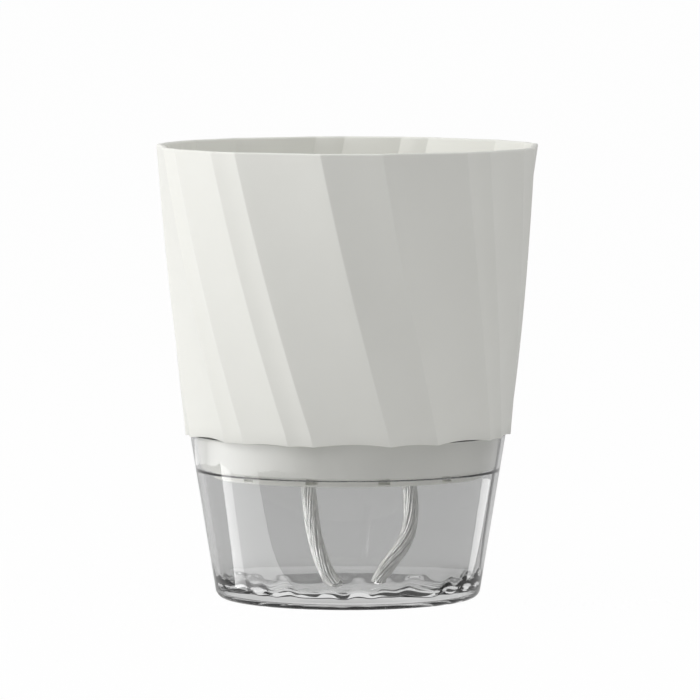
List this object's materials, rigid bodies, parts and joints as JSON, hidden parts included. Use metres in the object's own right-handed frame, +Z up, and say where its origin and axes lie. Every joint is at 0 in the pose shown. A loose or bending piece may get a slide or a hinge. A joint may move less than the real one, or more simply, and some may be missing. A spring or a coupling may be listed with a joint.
{
  "type": "self-watering planter",
  "caption": "Tapered white plant pot with twisted, irregular flutes, seated in the mouth of a clear water reservoir, with cotton wicks hanging from its pierced floor.",
  "frame": {"origin": "centre of the reservoir's foot, on the surface that it stands on", "axes": "+Z up along the planter's axis; the front, as pictured, faces -Y; +X to the right"},
  "size_m": [0.1282, 0.1292, 0.152],
  "materials": {
    "clear_plastic": "clear, polished, faintly smoky moulding",
    "white_plastic": "satin warm-white moulding",
    "cotton": "soft twisted cotton rope"
  },
  "bodies": {
    "reservoir": {"reservoir": "clear_plastic"},
    "pot": {"pot": "white_plastic", "wick_left": "cotton", "wick_right": "cotton"}
  },
  "joints": [
    {"name": "pot_lift", "type": "slide", "parent": "reservoir", "child": "pot", "axis": [0, 0, 1], "range_m": [0, 0.06]}
  ]
}
